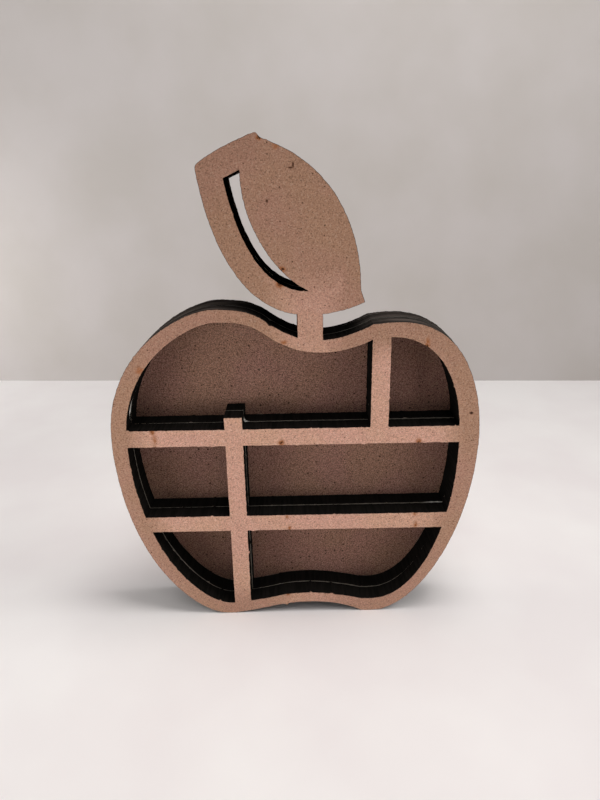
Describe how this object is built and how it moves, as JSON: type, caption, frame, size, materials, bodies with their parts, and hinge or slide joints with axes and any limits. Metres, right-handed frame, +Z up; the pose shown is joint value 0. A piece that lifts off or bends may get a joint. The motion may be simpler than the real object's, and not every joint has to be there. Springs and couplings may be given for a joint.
{
  "type": "display shelf",
  "caption": "Free-standing apple-shaped display shelf of glued, laser-cut MDF boards: open pockets between shelves and dividers, with a stem and a slotted leaf on top.",
  "frame": {"origin": "on the ground line, under the middle of the board stack", "axes": "+X to the right seen from the front, +Y from the open front to the back panel, +Z up"},
  "size_m": [0.1124, 0.0152, 0.1501],
  "materials": {
    "front_mdf": "bare MDF face, laser-charred cut edges",
    "middle_mdf": "laser-charred MDF edges",
    "back_mdf": "bare MDF face, laser-charred outer edge",
    "glue": "dried wood glue"
  },
  "bodies": {
    "root": {"front_frame": "front_mdf", "front_glue": "glue", "middle_frame": "middle_mdf", "back_glue": "glue", "back_panel": "back_mdf"}
  },
  "joints": []
}
